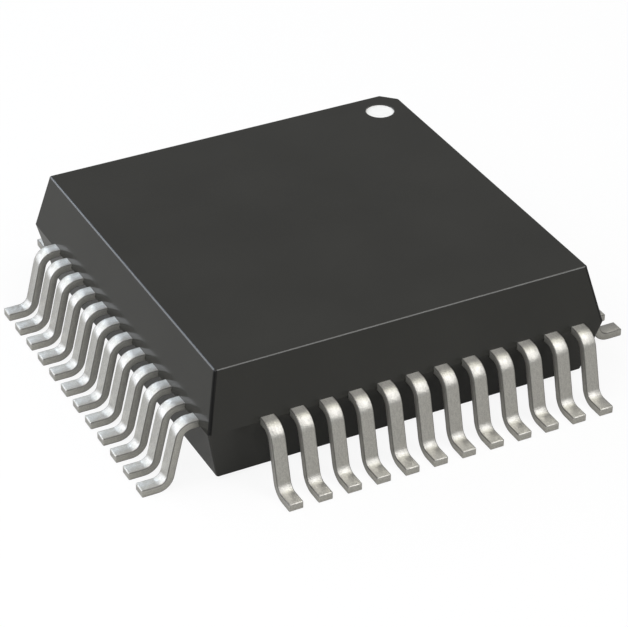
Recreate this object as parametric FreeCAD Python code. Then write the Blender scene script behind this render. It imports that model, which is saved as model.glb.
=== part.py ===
import FreeCAD, Part
import math
import os

# Quad flat pack: a moulded body with gull-wing leads on its four sides, and the chip inside.
# Lengths are in millimetres and angles in degrees.
# The origin is on the board plane, under the centre of the body, and +Z is up.
# The index corner, with its chamfer and its dot, is at -X and +Y.
# Leads are numbered anticlockwise from above, down the -X side first.

# Rows of leads
leads_per_side = 12
lead_pitch = 0.5
row_shift = 0.25
corner_margin = 0.485

# Body
body_thickness = 1.97
standoff = 0.08
draft_angle = 13.0
index_chamfer = 0.25
corner_round = 0.045
rim_round = 0.03

# Index dot, a white disc on the floor of a round recess
dot_diameter = 0.5
dot_inset = 0.5
dot_recess_depth = 0.035
dot_thickness = 0.01

# Lead outside the body
lead_reach = 0.965
lead_width = 0.24
lead_thickness = 0.13
leg_angle = 14.0
bend_radius = 0.16
shoulder_run = 0.1
tip_round = 0.02

# Lead finger inside the body
straight_run = 0.35
finger_pitch = 0.3
finger_width = 0.14
finger_gap = 0.3

# Die, its glue and its pad
die_side = 2.6
die_thickness = 0.28
glue_thickness = 0.025
glue_border = 0.08
pad_border = 0.4
pad_downset = 0.2

# Tie bars that hold the pad in the corners
tie_width = 0.15
tie_flat_run = 0.3
tie_ramp_run = 0.2
tie_wall_gap = 0.18

# Bond wires
wire_diameter = 0.025
wire_loop_height = 0.13
wire_bend_radius = 0.05
wire_die_pitch = 0.18
wire_die_inset = 0.1
wire_finger_inset = 0.1
ball_diameter = 0.06
ball_height = 0.015

# Plan sizes that follow
row_half = lead_pitch * (leads_per_side - 1) / 2
half_body = row_half + row_shift + corner_margin
half_top = half_body - body_thickness / 2 * math.tan(math.radians(draft_angle))
half_pad = die_side / 2 + pad_border
finger_tip = half_pad + finger_gap
finger_bend = half_body - straight_run
lead_tip = half_body + lead_reach
dot_centre = half_top - dot_inset
wire_start = die_side / 2 - wire_die_inset
wire_end = finger_tip + wire_finger_inset

# Heights that follow
body_top = standoff + body_thickness
waist_height = standoff + body_thickness / 2
lead_top = waist_height + lead_thickness / 2
lead_bottom = waist_height - lead_thickness / 2
pad_top = lead_top - pad_downset
pad_bottom = pad_top - lead_thickness
die_bottom = pad_top + glue_thickness
die_top = die_bottom + die_thickness
dot_floor = body_top - dot_recess_depth

origin = FreeCAD.Vector(0, 0, 0)
up = FreeCAD.Vector(0, 0, 1)


def polygon_face(points):
    corners = [FreeCAD.Vector(*point) for point in points]
    return Part.Face(Part.makePolygon(corners + corners[:1]))


def turned(shape, side):
    """Turn a shape made for the +X side on to another side."""
    copy = shape.copy()
    copy.rotate(origin, up, 90 * side)
    return copy


def turned_in_plan(shape, heading, x, y):
    """Turn a shape from +X to a heading, then move it to a place."""
    shape.rotate(origin, up, math.degrees(heading))
    shape.translate(FreeCAD.Vector(x, y, 0))
    return shape


def square_plate(side, bottom, thickness):
    corner = FreeCAD.Vector(-side / 2, -side / 2, bottom)
    return Part.makeBox(side, side, thickness, corner)


# Outline of the body at one height, with the index corner cut off
def body_outline(half, height):
    cut = half - index_chamfer
    corners = [(-half, -half), (half, -half), (half, half), (-cut, half), (-half, cut)]
    points = [FreeCAD.Vector(x, y, height) for x, y in corners]
    return Part.makePolygon(points + points[:1])


def tapered_half(height):
    waist = body_outline(half_body, waist_height)
    return Part.makeLoft([waist, body_outline(half_top, height)], True, True)


def heights(edge):
    return [vertex.Point.z for vertex in edge.Vertexes]


def body_block():
    block = tapered_half(body_top).fuse(tapered_half(standoff)).removeSplitter()
    corners = [edge for edge in block.Edges if max(heights(edge)) - min(heights(edge)) > corner_round]
    block = block.makeFillet(corner_round, corners)
    rims = [edge for edge in block.Edges if min(heights(edge)) > body_top - rim_round]
    rims += [edge for edge in block.Edges if max(heights(edge)) < standoff + rim_round]
    return block.makeFillet(rim_round, rims)


def dot_disc(thickness):
    centre = FreeCAD.Vector(-dot_centre, dot_centre, dot_floor)
    return Part.makeCylinder(dot_diameter / 2, thickness, centre, up)


# The cut goes on above the top face, so that the recess is open
def dot_recess():
    return dot_disc(2 * dot_recess_depth)


# Section of a lead outside the body, in the XZ plane: a strip with two bends
def lead_section():
    turn = math.radians(90 - leg_angle)
    tight = bend_radius
    wide = bend_radius + lead_thickness

    upper_x = half_body + shoulder_run
    upper_z = lead_bottom - tight
    lower_z = lead_thickness + tight
    leg_drop = upper_z - lower_z + (wide + tight) * math.cos(turn)
    lower_x = upper_x + (wide + tight) * math.sin(turn) + leg_drop / math.tan(turn)

    def upper(radius, angle):
        return FreeCAD.Vector(upper_x + radius * math.sin(angle), 0, upper_z + radius * math.cos(angle))

    def lower(radius, angle):
        return FreeCAD.Vector(lower_x - radius * math.sin(angle), 0, lower_z - radius * math.cos(angle))

    def foot(inset, height):
        return FreeCAD.Vector(lead_tip - inset, 0, height)

    def line(start, end):
        return Part.LineSegment(start, end).toShape()

    def arc(start, middle, end):
        return Part.Arc(start, middle, end).toShape()

    root_top = FreeCAD.Vector(finger_bend, 0, lead_top)
    root_bottom = FreeCAD.Vector(finger_bend, 0, lead_bottom)
    sag = tip_round * (1 - math.sqrt(0.5))
    face_top = lead_thickness - tip_round
    edges = [
        line(root_top, upper(wide, 0)),
        arc(upper(wide, 0), upper(wide, turn / 2), upper(wide, turn)),
        line(upper(wide, turn), lower(tight, turn)),
        arc(lower(tight, turn), lower(tight, turn / 2), lower(tight, 0)),
        line(lower(tight, 0), foot(tip_round, lead_thickness)),
        arc(foot(tip_round, lead_thickness), foot(sag, lead_thickness - sag), foot(0, face_top)),
        line(foot(0, face_top), foot(0, tip_round)),
        arc(foot(0, tip_round), foot(sag, sag), foot(tip_round, 0)),
        line(foot(tip_round, 0), lower(wide, 0)),
        arc(lower(wide, 0), lower(wide, turn / 2), lower(wide, turn)),
        line(lower(wide, turn), upper(tight, turn)),
        arc(upper(tight, turn), upper(tight, turn / 2), upper(tight, 0)),
        line(upper(tight, 0), root_bottom),
        line(root_bottom, root_top),
    ]
    return Part.Face(Part.Wire(edges))


def lead_strip():
    strip = lead_section().extrude(FreeCAD.Vector(0, lead_width, 0))
    strip.translate(FreeCAD.Vector(0, -lead_width / 2, 0))
    return strip


def finger_place(place, x):
    """Place along the side of a finger's centre line, at a distance x from the middle."""
    share = (x - finger_tip) / (finger_bend - finger_tip)
    return place * (finger_pitch + (lead_pitch - finger_pitch) * share) / lead_pitch


# Finger of a lead inside the body, from the end of its straight run to its bonding tip
def lead_finger(place):
    tip_place = finger_place(place, finger_tip)
    outline = [
        (finger_bend, place - lead_width / 2, lead_bottom),
        (finger_bend, place + lead_width / 2, lead_bottom),
        (finger_tip, tip_place + finger_width / 2, lead_bottom),
        (finger_tip, tip_place - finger_width / 2, lead_bottom),
    ]
    return polygon_face(outline).extrude(FreeCAD.Vector(0, 0, lead_thickness))


def make_lead(strip, place):
    outside = strip.copy()
    outside.translate(FreeCAD.Vector(0, place, 0))
    return outside.fuse(lead_finger(place)).removeSplitter()


# Section of a tie bar along its length, from the pad up to the level of the leads
def tie_section(length):
    ramp_end = tie_flat_run + tie_ramp_run
    return polygon_face([
        (0, 0, pad_bottom),
        (tie_flat_run, 0, pad_bottom),
        (ramp_end, 0, lead_bottom),
        (length, 0, lead_bottom),
        (length, 0, lead_top),
        (ramp_end, 0, lead_top),
        (tie_flat_run, 0, pad_top),
        (0, 0, pad_top),
    ])


# A tie bar runs midway between the last finger of one side and the first finger of the next
def tie_bar():
    middle_x = finger_tip
    middle_y = finger_tip + row_shift * finger_pitch / lead_pitch
    end_y = half_body - tie_wall_gap
    end_x = end_y - row_shift
    heading = math.atan2(end_y - middle_y, end_x - middle_x)
    start_y = half_pad - tie_width
    start_x = end_x - (end_y - start_y) / math.tan(heading)
    bar = tie_section(math.hypot(end_x - start_x, end_y - start_y))
    bar = bar.extrude(FreeCAD.Vector(0, tie_width, 0))
    bar.translate(FreeCAD.Vector(0, -tie_width / 2, 0))
    return turned_in_plan(bar, heading, start_x, start_y)


def make_die_pad():
    plate = square_plate(2 * half_pad, pad_bottom, lead_thickness)
    return plate.fuse([turned(tie_bar(), side) for side in range(4)]).removeSplitter()


# Path of a bond wire in the XZ plane: up from the die, round one bend, then down to the finger
def wire_path(distance):
    knee = FreeCAD.Vector(0, 0, die_top + wire_loop_height)
    landing = FreeCAD.Vector(distance, 0, lead_top)
    down = -up
    slope = (landing - knee).normalize()
    opening = down.getAngle(slope)
    reach = wire_bend_radius / math.tan(opening / 2)
    crown = wire_bend_radius / math.sin(opening / 2) - wire_bend_radius
    inside = (down + slope).normalize()
    bend_start = knee + down * reach
    bend_end = knee + slope * reach
    sunk_end = landing - slope * (wire_diameter / slope.z)
    edges = [
        Part.LineSegment(FreeCAD.Vector(0, 0, die_top), bend_start),
        Part.Arc(bend_start, knee + inside * crown, bend_end),
        Part.LineSegment(bend_end, sunk_end),
    ]
    return Part.Wire([edge.toShape() for edge in edges])


# The wire ends below the finger's face and is cut flush with it
def make_bond_wire(place, lead):
    start_place = place * wire_die_pitch / lead_pitch
    across = finger_place(place, wire_end) - start_place
    along = wire_end - wire_start
    foot = FreeCAD.Vector(0, 0, die_top)
    circle = Part.Wire([Part.makeCircle(wire_diameter / 2, foot, up)])
    wire = wire_path(math.hypot(along, across)).makePipeShell([circle], True, False)
    wire = wire.fuse(Part.makeCylinder(ball_diameter / 2, ball_height, foot, up))
    return turned_in_plan(wire, math.atan2(across, along), wire_start, start_place).cut(lead)


def make_rows():
    """Leads and bond wires of the whole part, in the order of the lead numbers."""
    strip = lead_strip()
    places = [row_shift - row_half + lead_pitch * index for index in range(leads_per_side)]
    leads = [make_lead(strip, place) for place in places]
    wires = [make_bond_wire(place, lead) for place, lead in zip(places, leads)]
    sides = [2, 3, 0, 1]
    return [[turned(shape, side) for side in sides for shape in row] for row in (leads, wires)]


def write(name, shape):
    shape.exportStep("parts/" + name + ".step")


def build():
    os.makedirs("parts", exist_ok=True)
    leads, wires = make_rows()
    die_pad = make_die_pad()
    die_attach = square_plate(die_side + 2 * glue_border, pad_top, glue_thickness)
    die = square_plate(die_side, die_bottom, die_thickness)
    inside = leads + wires + [die_pad, die_attach, die]
    for number, lead in enumerate(leads, 1):
        write(f"lead_{number:02d}", lead)
    write("bond_wires", Part.makeCompound(wires))
    write("die_pad", die_pad)
    write("die_attach", die_attach)
    write("die", die)
    write("index_dot", dot_disc(dot_thickness))
    write("moulded_body", body_block().cut([dot_recess()] + inside))


build()
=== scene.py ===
import math

import bmesh
import bpy
from mathutils import Matrix, Vector


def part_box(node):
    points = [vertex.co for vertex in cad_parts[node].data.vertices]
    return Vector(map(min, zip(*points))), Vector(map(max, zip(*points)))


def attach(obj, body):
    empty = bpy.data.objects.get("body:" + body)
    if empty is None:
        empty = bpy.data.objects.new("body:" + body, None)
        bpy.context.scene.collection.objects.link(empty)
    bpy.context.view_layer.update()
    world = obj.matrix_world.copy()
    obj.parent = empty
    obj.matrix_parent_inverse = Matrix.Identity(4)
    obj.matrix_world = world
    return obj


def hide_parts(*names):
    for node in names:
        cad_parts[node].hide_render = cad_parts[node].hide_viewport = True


# Quad flat pack: tinned gull-wing leads, moulded body, index dot and the chip inside.
# Lengths are in metres, apart from the lens in millimetres, and angles in radians.
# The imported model's frame is kept: the board plane is at zero and +Z is up.

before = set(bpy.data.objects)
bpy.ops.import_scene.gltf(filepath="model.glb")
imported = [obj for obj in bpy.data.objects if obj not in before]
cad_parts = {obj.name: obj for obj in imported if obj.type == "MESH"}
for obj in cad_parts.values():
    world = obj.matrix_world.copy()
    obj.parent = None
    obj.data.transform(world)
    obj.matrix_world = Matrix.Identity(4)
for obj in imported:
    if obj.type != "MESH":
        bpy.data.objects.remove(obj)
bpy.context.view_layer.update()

bl_info = {
    "name": "Quad flat pack",
    "version": (1, 0, 0),
    "blender": (4, 5, 0),
    "location": "View3D > Sidebar > Flat pack",
    "description": "Builds the leads of a quad flat pack and finishes its body, dot and chip",
    "category": "Object",
}

# Quarter turns from the +X side to each row. The first row is on the -X side, and the
# leads are numbered anticlockwise from above.
ROW_TURNS = (2, 3, 0, 1)
FIRST_PLUS_X_LEAD = "lead_25"

# A lead's edges that are sharper than this are rounded, and those between the steps of a bend aren't
SHARP_ANGLE = math.radians(60)

# Distance that moves the plating's pattern on from one lead to the next
STRIP_STEP = 0.01

# Faces across the rounding of a foot's end, and across a lead's rounded long edges
TIP_STEPS = 3
EDGE_STEPS = 2

UPWARDS = Vector((0.0, 0.0, 1.0))
WHITE = (1.0, 1.0, 1.0)

# Sockets of a Mix node for colours: its factor, its two colours and its result
MIX_INPUTS = (0, 6, 7)
MIX_RESULT = 2

body_low, body_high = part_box("moulded_body")
lead_low, lead_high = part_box(FIRST_PLUS_X_LEAD)


# Settings


class LeadSettings(bpy.types.PropertyGroup):
    """Sizes of the tinned leads, outside and inside the body"""

    per_side: bpy.props.IntProperty(name="Leads per side", description="Leads in one row", default=12)
    pitch: bpy.props.FloatProperty(
        name="Pitch", description="Distance from one lead to the next", default=0.0005, unit="LENGTH")
    row_shift: bpy.props.FloatProperty(
        name="Row shift", description="Distance from the side's middle to the row's middle",
        default=0.00025, unit="LENGTH")
    width: bpy.props.FloatProperty(
        name="Width", description="Width of a lead outside the body", default=0.00024, unit="LENGTH")
    thickness: bpy.props.FloatProperty(
        name="Thickness", description="Thickness of the lead frame", default=0.00013, unit="LENGTH")
    shoulder_run: bpy.props.FloatProperty(
        name="Shoulder run", description="Straight run from the body to the upper bend",
        default=0.0001, unit="LENGTH")
    bend_radius: bpy.props.FloatProperty(
        name="Bend radius", description="Inside radius of both bends", default=0.00016, unit="LENGTH")
    leg_angle: bpy.props.FloatProperty(
        name="Leg angle", description="Angle of the leg from upright",
        default=math.radians(14), subtype="ANGLE")
    finger_pitch: bpy.props.FloatProperty(
        name="Finger pitch", description="Distance between the bonding tips of two leads",
        default=0.0003, unit="LENGTH")
    finger_width: bpy.props.FloatProperty(
        name="Finger width", description="Width of a bonding tip", default=0.00014, unit="LENGTH")
    straight_run: bpy.props.FloatProperty(
        name="Straight run", description="Part of a lead inside the body that keeps its full width",
        default=0.00035, unit="LENGTH")
    edge_round: bpy.props.FloatProperty(
        name="Edge round", description="Rounding of the long edges left by stamping and plating",
        default=0.000012, unit="LENGTH")
    tip_round: bpy.props.FloatProperty(
        name="Tip round", description="Rounding across the end of the foot", default=0.00002, unit="LENGTH")
    bend_steps: bpy.props.IntProperty(name="Bend steps", description="Faces round one bend", default=14)


class BodySettings(bpy.types.PropertyGroup):
    """Sizes of the moulded body's edges, and the colours of the painted highlight on its rim and the painted
    dark reflection on its upper corners
    """

    draft: bpy.props.FloatProperty(
        name="Draft", description="Slope of the sides from upright",
        default=math.radians(13), subtype="ANGLE")
    index_chamfer: bpy.props.FloatProperty(
        name="Index chamfer", description="Length cut off each side at the index corner",
        default=0.00025, unit="LENGTH")
    rim_round: bpy.props.FloatProperty(
        name="Rim round", description="Rounding of the rim round the top", default=0.00003, unit="LENGTH")
    corner_round: bpy.props.FloatProperty(
        name="Corner round", description="Rounding of the upright corners", default=0.000045, unit="LENGTH")
    # Painted highlight: this paler colour on the rim round the top stands in for the light that the rounded
    # rim catches.
    painted_rim_highlight_colour: bpy.props.FloatVectorProperty(
        name="Rim", description="Paler, rubbed rim round the top",
        default=(0.105, 0.105, 0.102), size=3, subtype="COLOR")
    # Painted dark reflection: this near-black colour on the upper halves of the upright corners stands in
    # for the dark reflection that they show; their roughness stays that of the body.
    painted_dark_corner_colour: bpy.props.FloatVectorProperty(
        name="Corner", description="Darker, smooth corners above the leads",
        default=(0.004, 0.004, 0.004), size=3, subtype="COLOR")


class FinishSettings(bpy.types.PropertyGroup):
    """Colours of the visible finishes"""

    mould_colour: bpy.props.FloatVectorProperty(
        name="Mould compound", description="Charcoal of the moulded body",
        default=(0.0321, 0.0318, 0.0285), size=3, subtype="COLOR")
    tin_colour: bpy.props.FloatVectorProperty(
        name="Tin", description="Matt tin plating of the leads",
        default=(0.68, 0.665, 0.62), size=3, subtype="COLOR")
    ink_colour: bpy.props.FloatVectorProperty(
        name="Ink", description="White ink of the index dot",
        default=(0.95, 0.95, 0.93), size=3, subtype="COLOR")


class StageSettings(bpy.types.PropertyGroup):
    """Camera, floor and lamps"""

    azimuth: bpy.props.FloatProperty(
        name="Azimuth", description="Direction of the camera round the part",
        default=math.radians(63.03), subtype="ANGLE")
    elevation: bpy.props.FloatProperty(
        name="Elevation", description="Height of the camera above the board plane",
        default=math.radians(32.93), subtype="ANGLE")
    distance: bpy.props.FloatProperty(
        name="Distance", description="From the camera to the point it aims at",
        default=0.04322, unit="LENGTH")
    focal_length: bpy.props.FloatProperty(
        name="Focal length", description="Lens of the camera in millimetres", default=148.24, unit="CAMERA")
    aim: bpy.props.FloatVectorProperty(
        name="Aim", description="Point that the camera looks at",
        default=(-0.0000682, 0.0000948, 0.0001603), size=3, unit="LENGTH")
    floor_colour: bpy.props.FloatVectorProperty(
        name="Floor", description="Pale studio floor", default=(0.335, 0.33, 0.31), size=3, subtype="COLOR")
    floor_reach: bpy.props.FloatProperty(
        name="Floor reach", description="From the part to the edge of the floor", default=0.6, unit="LENGTH")
    floor_drop: bpy.props.FloatProperty(
        name="Floor drop", description="Gap that keeps the floor clear of the feet",
        default=0.000002, unit="LENGTH")
    nearest: bpy.props.FloatProperty(
        name="Nearest", description="Nearest thing that the camera shows", default=0.001, unit="LENGTH")
    farthest: bpy.props.FloatProperty(
        name="Farthest", description="Farthest thing that the camera shows", default=5.0, unit="LENGTH")
    lamp_distance: bpy.props.FloatProperty(
        name="Lamp distance", description="From the part to each soft lamp", default=0.06, unit="LENGTH")
    surround_colour: bpy.props.FloatVectorProperty(
        name="Surround", description="Dim room round the lamps",
        default=(0.2, 0.2, 0.2), size=3, subtype="COLOR")


# Shader nodes


def node(tree, kind, inputs=None, **settings):
    """A shader node with its settings, and a value or a link for each input given."""
    made = tree.nodes.new(kind)
    for name, value in settings.items():
        setattr(made, name, value)
    for name, value in (inputs or {}).items():
        if isinstance(value, bpy.types.NodeSocket):
            tree.links.new(value, made.inputs[name])
        else:
            made.inputs[name].default_value = value
    return made


def effect_group(name, inputs, outputs):
    """An empty node group whose sockets all hold numbers, apart from an input called Vector."""
    tree = bpy.data.node_groups.new(name, "ShaderNodeTree")
    for label, value in inputs.items():
        kind = "NodeSocketVector" if label == "Vector" else "NodeSocketFloat"
        socket = tree.interface.new_socket(name=label, in_out="INPUT", socket_type=kind)
        if label != "Vector":
            socket.default_value = value
    for label in outputs:
        tree.interface.new_socket(name=label, in_out="OUTPUT", socket_type="NodeSocketFloat")
    return tree, tree.nodes.new("NodeGroupInput").outputs, tree.nodes.new("NodeGroupOutput").inputs


def noise(tree, vector, scale, detail, roughness=0.5):
    """Random pattern from 0 to 1."""
    inputs = {"Vector": vector, "Scale": scale, "Detail": detail, "Roughness": roughness}
    return node(tree, "ShaderNodeTexNoise", inputs).outputs["Fac"]


def calculated(tree, operation, first, second=0.0, third=0.0):
    """Result of one step of arithmetic."""
    return node(tree, "ShaderNodeMath", {0: first, 1: second, 2: third}, operation=operation).outputs[0]


def reciprocal(tree, value):
    """Turn a size into the scale of a pattern."""
    return calculated(tree, "DIVIDE", 1.0, value)


def remap(tree, value, low, high, from_low=0.3, from_high=0.7):
    """Move a value to a new range, from the one that most of a noise lies in if none is given."""
    inputs = {"Value": value, "From Min": from_low, "From Max": from_high, "To Min": low, "To Max": high}
    return node(tree, "ShaderNodeMapRange", inputs).outputs["Result"]


def grain_group():
    """Fine grain and slow clouds, the same in every direction."""
    tree, given, result = effect_group(
        "fine_grain", {"Vector": None, "Grain size": 0.00002, "Cloud size": 0.001}, ("Grain", "Clouds"))
    grain_detail, cloud_detail = 2.0, 3.0
    grain = noise(tree, given["Vector"], reciprocal(tree, given["Grain size"]), grain_detail)
    clouds = noise(tree, given["Vector"], reciprocal(tree, given["Cloud size"]), cloud_detail)
    tree.links.new(grain, result["Grain"])
    tree.links.new(clouds, result["Clouds"])


def streak_group():
    """Fine streaks along the first axis of the vector, as rolling and forming leave."""
    tree, given, result = effect_group(
        "rolled_streaks", {"Vector": None, "Streak width": 0.00001, "Streak length": 0.0001}, ("Streaks",))
    width = reciprocal(tree, given["Streak width"])
    length = reciprocal(tree, given["Streak length"])
    scale = node(tree, "ShaderNodeCombineXYZ", {"X": length, "Y": width, "Z": width}).outputs[0]
    stretched = node(tree, "ShaderNodeVectorMath", {0: given["Vector"], 1: scale}, operation="MULTIPLY")
    streaks = noise(tree, stretched.outputs[0], scale=1.0, detail=3.0, roughness=0.6)
    tree.links.new(streaks, result["Streaks"])


def effect(tree, name, inputs):
    """Outputs of one of the node groups, placed in a material with its own values."""
    return node(tree, "ShaderNodeGroup", inputs, node_tree=bpy.data.node_groups[name]).outputs


def new_material(name):
    """A material with a Principled shader on its output."""
    material = bpy.data.materials.new(name)
    material.use_nodes = True
    tree = material.node_tree
    tree.nodes.clear()
    surface = node(tree, "ShaderNodeBsdfPrincipled")
    output = node(tree, "ShaderNodeOutputMaterial", {"Surface": surface.outputs[0]})
    return material, tree, surface, output


def object_place(tree):
    """Place on a piece that isn't a lead, in metres."""
    return node(tree, "ShaderNodeTexCoord").outputs["Object"]


def strip_place(tree):
    """Place on a lead: along it, across it and through it, in metres."""
    return node(tree, "ShaderNodeAttribute", attribute_name="strip_place").outputs["Vector"]


def shades(tree, factor, dark, light):
    """Colour that goes from dark to light with a factor."""
    ramp = node(tree, "ShaderNodeValToRGB", {"Fac": factor})
    ramp.color_ramp.elements[0].color = (*dark, 1.0)
    ramp.color_ramp.elements[1].color = (*light, 1.0)
    return ramp.outputs["Color"]


def mixed(tree, factor, first, second):
    """Colour that goes from the first to the second with a factor."""
    values = [factor]
    for colour in (first, second):
        values.append(colour if isinstance(colour, bpy.types.NodeSocket) else (*colour, 1.0))
    return node(tree, "ShaderNodeMix", dict(zip(MIX_INPUTS, values)), data_type="RGBA").outputs[MIX_RESULT]


def scaled(colour, factor):
    """A darker or lighter shade of a colour."""
    return tuple(channel * factor for channel in colour)


def bump(tree, height, distance, strength, normal=None):
    """Normal of a surface that rises by the distance as the height goes from 0 to 1."""
    inputs = {"Height": height, "Distance": distance, "Strength": strength}
    if normal:
        inputs["Normal"] = normal
    return node(tree, "ShaderNodeBump", inputs).outputs["Normal"]


def finish(tree, surface, colour, roughness, normal):
    """Link what varies over the surface to its shader."""
    tree.links.new(colour, surface.inputs["Base Color"])
    tree.links.new(roughness, surface.inputs["Roughness"])
    tree.links.new(normal, surface.inputs["Normal"])


# Materials


def painted_light_edge_masks(tree, place, sizes):
    """Masks of the painted highlight on the rim round the top and of the painted dark reflection on the
    upright corners above the leads.

    Each one is full up to the first distance from its edge and ends at the second.
    """
    rim_full, rim_end = sizes.rim_round * 0.5, sizes.rim_round * 0.62
    corner_full, corner_end = sizes.corner_round * 0.9, sizes.corner_round * 1.3
    waist = (body_low.z + body_high.z) / 2
    x, y, z = node(tree, "ShaderNodeSeparateXYZ", {0: place}).outputs
    width = calculated(tree, "ABSOLUTE", x)
    depth = calculated(tree, "ABSOLUTE", y)
    from_waist = calculated(tree, "ABSOLUTE", calculated(tree, "SUBTRACT", z, waist))
    half = calculated(tree, "MULTIPLY_ADD", from_waist, -math.tan(sizes.draft), body_high.x)
    both_halves = calculated(tree, "MULTIPLY", half, 2.0)
    to_side = calculated(tree, "SUBTRACT", half, calculated(tree, "MAXIMUM", width, depth))
    to_corner = calculated(tree, "SUBTRACT", both_halves, calculated(tree, "ADD", width, depth))
    chamfer = calculated(tree, "SUBTRACT", both_halves, sizes.index_chamfer)
    to_index = calculated(tree, "SUBTRACT", chamfer, calculated(tree, "SUBTRACT", y, x))
    to_index = calculated(tree, "MULTIPLY", to_index, math.sqrt(0.5))
    to_top = calculated(tree, "SUBTRACT", body_high.z, z)
    to_rim = calculated(tree, "ADD", to_top, calculated(tree, "MINIMUM", to_side, to_index))
    rim = remap(tree, to_rim, 1.0, 0.0, rim_full, rim_end)
    corner = remap(tree, to_corner, 1.0, 0.0, corner_full, corner_end)
    # Only the corners' upper half, above the waist, gets the painted dark reflection.
    upper = remap(tree, z, 0.0, 1.0, waist - sizes.rim_round, waist + sizes.rim_round)
    return rim, calculated(tree, "MULTIPLY", corner, upper)


def mould_compound_material(colour, sizes):
    """Filled epoxy: charcoal, with a very fine grain and faint clouds, a painted highlight on the rim and a
    painted dark reflection on the upper corners.
    """
    dark, light = 0.93, 1.07
    smooth, rough = 0.13, 0.17
    grain_height, grain_strength = 0.0000003, 0.25
    material, tree, surface, _ = new_material("mould_compound_charcoal")
    surface.inputs["Specular IOR Level"].default_value = 0.46
    place = object_place(tree)
    fine = effect(tree, "fine_grain", {"Vector": place, "Grain size": 0.000014, "Cloud size": 0.0016})
    base = shades(tree, remap(tree, fine["Clouds"], 0.0, 1.0), scaled(colour, dark), scaled(colour, light))
    rim, corner = painted_light_edge_masks(tree, place, sizes)
    # Painted highlight on the rim round the top.
    base = mixed(tree, rim, base, sizes.painted_rim_highlight_colour)
    # Painted dark reflection on the upper halves of the upright corners.
    base = mixed(tree, corner, base, sizes.painted_dark_corner_colour)
    roughness = remap(tree, fine["Grain"], smooth, rough)
    finish(tree, surface, base, roughness, bump(tree, fine["Grain"], grain_height, grain_strength))
    return material


def painted_shade_edge_mask(tree, place, sizes):
    """Mask of the painted shade along a lead's four long edges, from where it starts to where it is full."""
    edge_start, edge_full = sizes.edge_round * 1.6, sizes.edge_round * 0.6
    _, across, through = node(tree, "ShaderNodeSeparateXYZ", {0: place}).outputs
    masks = []
    for value, half in ((across, sizes.width / 2), (through, sizes.thickness / 2)):
        value = calculated(tree, "ABSOLUTE", value)
        masks.append(remap(tree, value, 0.0, 1.0, half - edge_start, half - edge_full))
    return calculated(tree, "MULTIPLY", *masks)


def tinned_lead_material(colour, sizes):
    """Matt tin on copper: streaks along the strip, a crystalline grain and painted shade darkening the long
    edges.
    """
    dull, bright, painted_edge_darkening = 0.87, 1.1, 0.35
    matt, shiny = 0.42, 0.30
    worn_low, worn_high = 0.38, 0.62
    streak_height, grain_height, strength = 0.000002, 0.000005, 1.0
    material, tree, surface, _ = new_material("matt_tin_plating")
    surface.inputs["Metallic"].default_value = 0.78
    place = strip_place(tree)
    streaks = effect(tree, "rolled_streaks", {
        "Vector": place, "Streak width": 0.00003, "Streak length": 0.00009})["Streaks"]
    fine = effect(tree, "fine_grain", {"Vector": place, "Grain size": 0.00002, "Cloud size": 0.0003})
    mean = calculated(tree, "MULTIPLY_ADD", streaks, 0.5, calculated(tree, "MULTIPLY", fine["Grain"], 0.5))
    worn = remap(tree, mean, 0.0, 1.0, worn_low, worn_high)
    base = shades(tree, worn, scaled(colour, dull), scaled(colour, bright))
    # Painted shade: the base colour is darkened along the lead's four long edges.
    base = mixed(tree, painted_shade_edge_mask(tree, place, sizes), base, scaled(colour, painted_edge_darkening))
    roughness = remap(tree, worn, matt, shiny, 0.0, 1.0)
    lines = bump(tree, streaks, streak_height, strength)
    finish(tree, surface, base, roughness, bump(tree, fine["Grain"], grain_height, strength, lines))
    return material


def white_ink_material(colour):
    """Opaque white ink with a soft, slightly uneven face."""
    dark, light = 0.97, 1.02
    smooth, rough = 0.5, 0.62
    cloud_height, cloud_strength = 0.000002, 0.3
    material, tree, surface, _ = new_material("index_dot_ink")
    place = object_place(tree)
    fine = effect(tree, "fine_grain", {"Vector": place, "Grain size": 0.00002, "Cloud size": 0.00015})
    base = shades(tree, remap(tree, fine["Clouds"], 0.0, 1.0), scaled(colour, dark), scaled(colour, light))
    roughness = remap(tree, fine["Grain"], smooth, rough)
    finish(tree, surface, base, roughness, bump(tree, fine["Clouds"], cloud_height, cloud_strength))
    return material


def copper_material():
    """Rolled copper alloy of the die pad and its tie bars."""
    dark, light = (0.62, 0.27, 0.15), (0.74, 0.36, 0.21)
    smooth, rough = 0.25, 0.42
    streak_height, streak_strength = 0.0000008, 0.5
    material, tree, surface, _ = new_material("rolled_copper_alloy")
    surface.inputs["Metallic"].default_value = 1.0
    place = object_place(tree)
    streaks = effect(tree, "rolled_streaks", {
        "Vector": place, "Streak width": 0.000015, "Streak length": 0.0006})["Streaks"]
    fine = effect(tree, "fine_grain", {"Vector": place, "Grain size": 0.00002, "Cloud size": 0.0008})
    base = shades(tree, remap(tree, fine["Clouds"], 0.0, 1.0), dark, light)
    roughness = remap(tree, streaks, smooth, rough)
    finish(tree, surface, base, roughness, bump(tree, streaks, streak_height, streak_strength))
    return material


def die_glue_material():
    """Silver-filled glue under the die, grey and grainy."""
    dark, light = (0.30, 0.30, 0.30), (0.52, 0.52, 0.50)
    smooth, rough = 0.45, 0.65
    grain_height, grain_strength = 0.000004, 0.6
    material, tree, surface, _ = new_material("silver_filled_glue")
    surface.inputs["Metallic"].default_value = 0.6
    place = object_place(tree)
    fine = effect(tree, "fine_grain", {"Vector": place, "Grain size": 0.000016, "Cloud size": 0.0004})
    base = shades(tree, remap(tree, fine["Grain"], 0.0, 1.0), dark, light)
    roughness = remap(tree, fine["Clouds"], smooth, rough)
    finish(tree, surface, base, roughness, bump(tree, fine["Grain"], grain_height, grain_strength))
    return material


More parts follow.
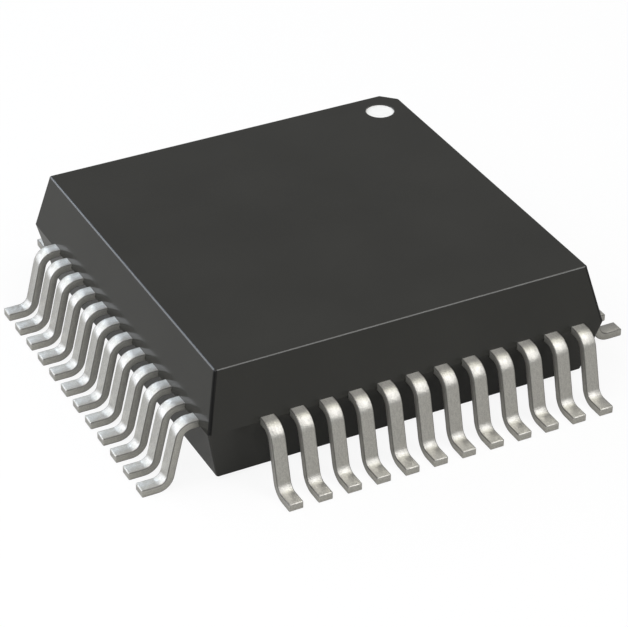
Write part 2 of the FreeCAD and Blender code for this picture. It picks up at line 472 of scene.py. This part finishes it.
def silicon_material():
    """Polished silicon, with a plain field of generic circuit blocks."""
    dark, light = (0.05, 0.06, 0.10), (0.14, 0.13, 0.19)
    smooth, rough = 0.12, 0.22
    blocks_per_metre, block_height, block_strength = 6000.0, 0.0000006, 0.3
    block_inside, block_border = 0.1, 0.8
    material, tree, surface, _ = new_material("silicon_die")
    surface.inputs["Metallic"].default_value = 0.35
    place = object_place(tree)
    fine = effect(tree, "fine_grain", {"Vector": place, "Grain size": 0.00001, "Cloud size": 0.0007})
    blocks = node(tree, "ShaderNodeTexVoronoi", {"Vector": place, "Scale": blocks_per_metre},
                  distance="CHEBYCHEV", feature="F1").outputs["Distance"]
    base = shades(tree, remap(tree, blocks, 0.0, 1.0, block_inside, block_border), dark, light)
    roughness = remap(tree, fine["Clouds"], smooth, rough)
    finish(tree, surface, base, roughness, bump(tree, blocks, block_height, block_strength))
    return material


def gold_wire_material():
    """Drawn gold wire with a very fine grain."""
    dark, light = (0.84, 0.56, 0.20), (0.98, 0.70, 0.30)
    smooth, rough = 0.14, 0.26
    grain_height, grain_strength = 0.0000002, 0.4
    material, tree, surface, _ = new_material("drawn_gold")
    surface.inputs["Metallic"].default_value = 1.0
    place = object_place(tree)
    fine = effect(tree, "fine_grain", {"Vector": place, "Grain size": 0.000004, "Cloud size": 0.0001})
    base = shades(tree, remap(tree, fine["Clouds"], 0.0, 1.0), dark, light)
    roughness = remap(tree, fine["Grain"], smooth, rough)
    finish(tree, surface, base, roughness, bump(tree, fine["Grain"], grain_height, grain_strength))
    return material


# Leads


def end_vertices(made):
    """Vertices among what an operator made."""
    return [item for item in made if isinstance(item, bmesh.types.BMVert)]


def end_face(made):
    """The one face among what an operator made."""
    return next(item for item in made if isinstance(item, bmesh.types.BMFace))


def whole(face):
    """A face with its edges and vertices."""
    return [face, *face.edges, *face.verts]


def pushed_out(mesh, face, step):
    """Extrude the end face of a lead along a step."""
    made = bmesh.ops.extrude_face_region(mesh, geom=whole(face))["geom"]
    bmesh.ops.translate(mesh, verts=end_vertices(made), vec=step)
    return end_face(made)


def bent(mesh, face, centre, angle):
    """Turn the end face of a lead by one step of a bend, whose axis is across the lead."""
    made = bmesh.ops.spin(
        mesh, geom=whole(face), cent=centre, axis=(0, 1, 0), dvec=(0, 0, 0), angle=angle, steps=1,
        use_merge=False, use_duplicate=False)["geom_last"]
    return end_face(made)


def rounded(mesh, edges, radius, segments):
    """Round some edges."""
    bmesh.ops.bevel(
        mesh, geom=edges, offset=radius, offset_type="OFFSET", segments=segments, profile=0.5,
        affect="EDGES", clamp_overlap=True, material=-1)


def mark_strip_place(layer, vertices, along, outward):
    """Store where the new end of the lead lies along, across and through the strip."""
    centre = sum((vertex.co for vertex in vertices), Vector()) / len(vertices)
    for vertex in vertices:
        offset = vertex.co - centre
        vertex[layer] = Vector((along, offset.y, offset.dot(outward)))


def bend_centres(sizes, place, turn):
    """Centres of the upper and the lower bend, and the length of the leg between the bends.

    Each face of the leg meets the inside of one bend and the outside of the other.
    """
    inside = sizes.bend_radius
    both_radii = inside + (inside + sizes.thickness)
    upper = Vector((body_high.x + sizes.shoulder_run, place, lead_high.z - sizes.thickness - inside))
    lower_z = sizes.thickness + inside
    drop = upper.z - lower_z + both_radii * math.cos(turn)
    lower_x = upper.x + both_radii * math.sin(turn) + drop / math.tan(turn)
    return upper, Vector((lower_x, place, lower_z)), drop / math.sin(turn)


def bonding_finger(mesh, layer, sizes, place, along):
    """Start a lead at its bonding tip and widen it towards its straight run."""
    top = lead_high.z
    bottom = top - sizes.thickness
    run = body_high.x - sizes.straight_run - lead_low.x
    tip_place = place * sizes.finger_pitch / sizes.pitch
    centre = Vector((lead_low.x + run / 2, tip_place, (top + bottom) / 2))
    size = Matrix.Diagonal((run, sizes.finger_width, sizes.thickness, 1.0))
    bmesh.ops.create_cube(mesh, size=1.0, matrix=Matrix.Translation(centre) @ size)
    mark_strip_place(layer, [vertex for vertex in mesh.verts if vertex.co.x < centre.x], along, UPWARDS)
    face = max(mesh.faces, key=lambda each: each.calc_center_median().x)
    widen = Matrix.Diagonal((1.0, sizes.width / sizes.finger_width, 1.0))
    about = Matrix.Translation((0.0, -tip_place, 0.0))
    bmesh.ops.transform(mesh, matrix=widen.to_4x4(), space=about, verts=face.verts)
    bmesh.ops.translate(mesh, verts=face.verts, vec=(0.0, place - tip_place, 0.0))
    mark_strip_place(layer, list(face.verts), along + run, UPWARDS)
    return face, along + run


def soften_edges(mesh, foot_end, sizes):
    """Round the end of the foot, and then the edges that stamping and plating leave."""
    level = []
    for edge in foot_end.edges:
        start, end = edge.verts
        if abs(end.co.z - start.co.z) < sizes.thickness / 2:
            level.append(edge)
    rounded(mesh, level, sizes.tip_round, TIP_STEPS)
    bmesh.ops.recalc_face_normals(mesh, faces=mesh.faces)
    sharp = [edge for edge in mesh.edges if edge.calc_face_angle() > SHARP_ANGLE]
    rounded(mesh, sharp, sizes.edge_round, EDGE_STEPS)


def lead_mesh(sizes, number, place):
    """Mesh of one lead as it stands on the +X side, at its place along the row."""
    turn = math.radians(90) - sizes.leg_angle
    upper, lower, leg = bend_centres(sizes, place, turn)
    mesh = bmesh.new()
    layer = mesh.verts.layers.float_vector.new("strip_place")
    face, along = bonding_finger(mesh, layer, sizes, place, number * STRIP_STEP)

    run = upper.x - (body_high.x - sizes.straight_run)
    face = pushed_out(mesh, face, (run, 0.0, 0.0))
    along += run
    mark_strip_place(layer, list(face.verts), along, UPWARDS)

    # The upper bend with the leg after it, and the lower bend with the foot after it
    middle_radius = sizes.bend_radius + sizes.thickness / 2
    step = turn / sizes.bend_steps
    slope = 0.0
    for centre, sign, run in ((upper, 1, leg), (lower, -1, lead_high.x - lower.x)):
        for _ in range(sizes.bend_steps):
            face = bent(mesh, face, centre, sign * step)
            along += step * middle_radius
            slope += sign * step
            outward = Vector((math.sin(slope), 0.0, math.cos(slope)))
            mark_strip_place(layer, list(face.verts), along, outward)
        face = pushed_out(mesh, face, Vector((math.cos(slope), 0.0, -math.sin(slope))) * run)
        along += run
        mark_strip_place(layer, list(face.verts), along, outward)

    soften_edges(mesh, face, sizes)
    return mesh


def finished_object(name, mesh, material, smooth=True):
    """Make an object of a mesh and give it its material."""
    data = bpy.data.meshes.new(name)
    mesh.to_mesh(data)
    mesh.free()
    for polygon in data.polygons:
        polygon.use_smooth = smooth
    data.materials.append(material)
    made = bpy.data.objects.new(name, data)
    bpy.context.scene.collection.objects.link(made)
    return made


class FLATPACK_OT_leads(bpy.types.Operator):
    """Build the tinned leads in place of the plain ones"""

    bl_idname = "flatpack.leads"
    bl_label = "Leads"

    def execute(self, context):
        sizes = context.scene.flatpack_leads
        material = tinned_lead_material(tuple(context.scene.flatpack_finishes.tin_colour), sizes)
        first = sizes.row_shift - sizes.pitch * (sizes.per_side - 1) / 2
        number = 0
        for turns in ROW_TURNS:
            turned = Matrix.Rotation(math.radians(90 * turns), 3, "Z")
            for index in range(sizes.per_side):
                number += 1
                mesh = lead_mesh(sizes, number, first + sizes.pitch * index)
                bmesh.ops.rotate(mesh, cent=(0, 0, 0), matrix=turned, verts=mesh.verts)
                lead = finished_object(f"tinned_lead_{number:02d}", mesh, material)
                weighted = lead.modifiers.new("flat_face_shading", "WEIGHTED_NORMAL")
                weighted.keep_sharp = True
                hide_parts(f"lead_{number:02d}")
                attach(lead, "root")
        return {"FINISHED"}


# Body, dot and chip


def give_material(name, material):
    """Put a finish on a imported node."""
    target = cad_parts[name]
    for slot in target.material_slots:
        slot.material = material


class FLATPACK_OT_body(bpy.types.Operator):
    """Finish the moulded body"""

    bl_idname = "flatpack.body"
    bl_label = "Body"

    def execute(self, context):
        colour = tuple(context.scene.flatpack_finishes.mould_colour)
        give_material("moulded_body", mould_compound_material(colour, context.scene.flatpack_body))
        return {"FINISHED"}


class FLATPACK_OT_index_dot(bpy.types.Operator):
    """Finish the index dot"""

    bl_idname = "flatpack.index_dot"
    bl_label = "Index dot"

    def execute(self, context):
        give_material("index_dot", white_ink_material(tuple(context.scene.flatpack_finishes.ink_colour)))
        return {"FINISHED"}


class FLATPACK_OT_chip(bpy.types.Operator):
    """Finish the die, its glue, its pad and the bond wires"""

    bl_idname = "flatpack.chip"
    bl_label = "Chip and wires"

    def execute(self, context):
        give_material("die_pad", copper_material())
        give_material("die_attach", die_glue_material())
        give_material("die", silicon_material())
        give_material("bond_wires", gold_wire_material())
        return {"FINISHED"}


# Stage


def floor_material(colour):
    """Pale floor that the camera sees as white, with the part's shadow on it."""
    seen_colour = (0.95, 0.95, 0.95)
    white_when_seen, white_in_gloss = 0.9, 0.11
    material, tree, surface, output = new_material("studio_floor")
    surface.inputs["Roughness"].default_value = 0.9
    surface.inputs["Specular IOR Level"].default_value = 0.0
    white = node(tree, "ShaderNodeEmission", {"Color": (*WHITE, 1.0), "Strength": 1.0})
    rays = node(tree, "ShaderNodeLightPath").outputs
    tree.links.new(mixed(tree, rays["Is Camera Ray"], colour, seen_colour), surface.inputs["Base Color"])
    seen = calculated(tree, "MULTIPLY", rays["Is Camera Ray"], white_when_seen)
    gloss = calculated(tree, "MAXIMUM", rays["Is Glossy Ray"], rays["Is Transmission Ray"])
    gloss = calculated(tree, "MULTIPLY", gloss, white_in_gloss)
    share = calculated(tree, "MAXIMUM", seen, gloss)
    seen_floor = node(tree, "ShaderNodeMixShader", {0: share, 1: surface.outputs[0], 2: white.outputs[0]})
    tree.links.new(seen_floor.outputs[0], output.inputs["Surface"])
    return material


def add_lamp(name, direction, along, distance, sides, radiance, colour):
    """Add a soft lamp that faces the part from a direction, with its first side along another."""
    data = bpy.data.lights.new(name, "AREA")
    data.shape = "RECTANGLE"
    data.size, data.size_y = sides
    data.energy = radiance * math.pi * data.size * data.size_y
    data.color = colour
    lamp = bpy.data.objects.new(name, data)
    back = Vector(direction).normalized()
    across = back.cross(Vector(along)).normalized()
    lamp.rotation_euler = Matrix((across.cross(back), across, back)).transposed().to_euler()
    lamp.location = back * distance
    lamp.visible_camera = False
    bpy.context.scene.collection.objects.link(lamp)


def studio_world(colour):
    """Dim, even room round the lamps, which the camera sees as white."""
    world = bpy.data.worlds.new("studio")
    world.use_nodes = True
    tree = world.node_tree
    seen = node(tree, "ShaderNodeLightPath").outputs["Is Camera Ray"]
    tree.links.new(mixed(tree, seen, colour, WHITE), tree.nodes["Background"].inputs["Color"])
    return world


# Name, direction from the part, direction of the first side, length of both sides, radiance and colour
LAMPS = (
    ("overhead_lamp", (0.10, -0.50, 0.85), (0.0, 0.20, 1.0), (0.035, 0.055), 2.15, (1.0, 0.96, 0.97)),
    ("top_lamp", (0.34, 0.38, 0.86), (0.86, 0.0, -0.35), (0.022, 0.036), 2.85, (1.0, 1.0, 1.03)),
    ("top_back_lamp", (-0.05, 0.40, 0.91), (0.86, 0.0, -0.35), (0.022, 0.036), 1.6, (1.0, 1.0, 0.87)),
    ("top_right_lamp", (0.70, 0.38, 0.60), (0.86, 0.0, -0.35), (0.022, 0.036), 2.3, (1.0, 1.0, 1.0)),
    ("right_front_lamp", (0.70, -0.60, 0.40), (0.0, 0.20, 1.0), (0.030, 0.050), 1.2, (0.93, 1.0, 1.0)),
    ("left_lamp", (-0.75, -0.30, 0.58), (0.0, 0.45, 0.80), (0.020, 0.050), 1.65, (0.92, 1.0, 1.05)),
    ("left_back_lamp", (-0.80, -0.06, 0.60), (0.0, 0.45, 0.80), (0.016, 0.016), 2.4, (0.84, 1.0, 1.27)),
    ("left_front_lamp", (-0.47, -0.82, 0.28), (0.0, 0.20, 1.0), (0.035, 0.085), 1.95, (0.95, 1.0, 1.11)),
)


class FLATPACK_OT_stage(bpy.types.Operator):
    """Set up the floor, the lamps and the camera"""

    bl_idname = "flatpack.stage"
    bl_label = "Stage"

    def execute(self, context):
        settings = context.scene.flatpack_stage
        mesh = bmesh.new()
        bmesh.ops.create_grid(mesh, x_segments=1, y_segments=1, size=settings.floor_reach)
        bmesh.ops.translate(mesh, verts=mesh.verts, vec=(0.0, 0.0, -settings.floor_drop))
        material = floor_material(tuple(settings.floor_colour))
        floor = finished_object("studio_floor", mesh, material, smooth=False)

        context.scene.world = studio_world(tuple(settings.surround_colour))

        for name, direction, along, sides, radiance, colour in LAMPS:
            add_lamp(name, direction, along, settings.lamp_distance, sides, radiance, colour)

        camera = bpy.data.objects.new("camera", bpy.data.cameras.new("camera"))
        level, height = math.cos(settings.elevation), math.sin(settings.elevation)
        back = Vector((math.sin(settings.azimuth) * level, -math.cos(settings.azimuth) * level, height))
        camera.location = Vector(settings.aim) + back * settings.distance
        camera.rotation_euler = back.to_track_quat("Z", "Y").to_euler()
        camera.data.lens = settings.focal_length
        camera.data.clip_start = settings.nearest
        camera.data.clip_end = settings.farthest
        context.scene.collection.objects.link(camera)
        context.scene.camera = camera
        context.scene.view_settings.view_transform = "Standard"
        return {"FINISHED"}


class FLATPACK_PT_panel(bpy.types.Panel):
    """List the operators and the settings"""

    bl_idname = "FLATPACK_PT_panel"
    bl_label = "Flat pack"
    bl_space_type = "VIEW_3D"
    bl_region_type = "UI"
    bl_category = "Flat pack"

    def draw(self, context):
        column = self.layout.column()
        for operator in OPERATORS:
            column.operator(operator.bl_idname)
        for name, group in SETTINGS.items():
            settings = getattr(context.scene, name)
            for label in group.__annotations__:
                column.prop(settings, label)


SETTINGS = {
    "flatpack_leads": LeadSettings,
    "flatpack_body": BodySettings,
    "flatpack_finishes": FinishSettings,
    "flatpack_stage": StageSettings,
}
OPERATORS = (FLATPACK_OT_stage, FLATPACK_OT_body, FLATPACK_OT_leads, FLATPACK_OT_index_dot, FLATPACK_OT_chip)


def register():
    for group in SETTINGS.values():
        bpy.utils.register_class(group)
    for name, group in SETTINGS.items():
        setattr(bpy.types.Scene, name, bpy.props.PointerProperty(type=group))
    for operator in OPERATORS:
        bpy.utils.register_class(operator)
    bpy.utils.register_class(FLATPACK_PT_panel)


def unregister():
    bpy.utils.unregister_class(FLATPACK_PT_panel)
    for operator in reversed(OPERATORS):
        bpy.utils.unregister_class(operator)
    for name, group in SETTINGS.items():
        delattr(bpy.types.Scene, name)
        bpy.utils.unregister_class(group)


def main():
    register()
    grain_group()
    streak_group()
    bpy.ops.flatpack.stage()
    bpy.ops.flatpack.body()
    bpy.ops.flatpack.leads()
    bpy.ops.flatpack.index_dot()
    bpy.ops.flatpack.chip()


if __name__ == "__main__":
    main()
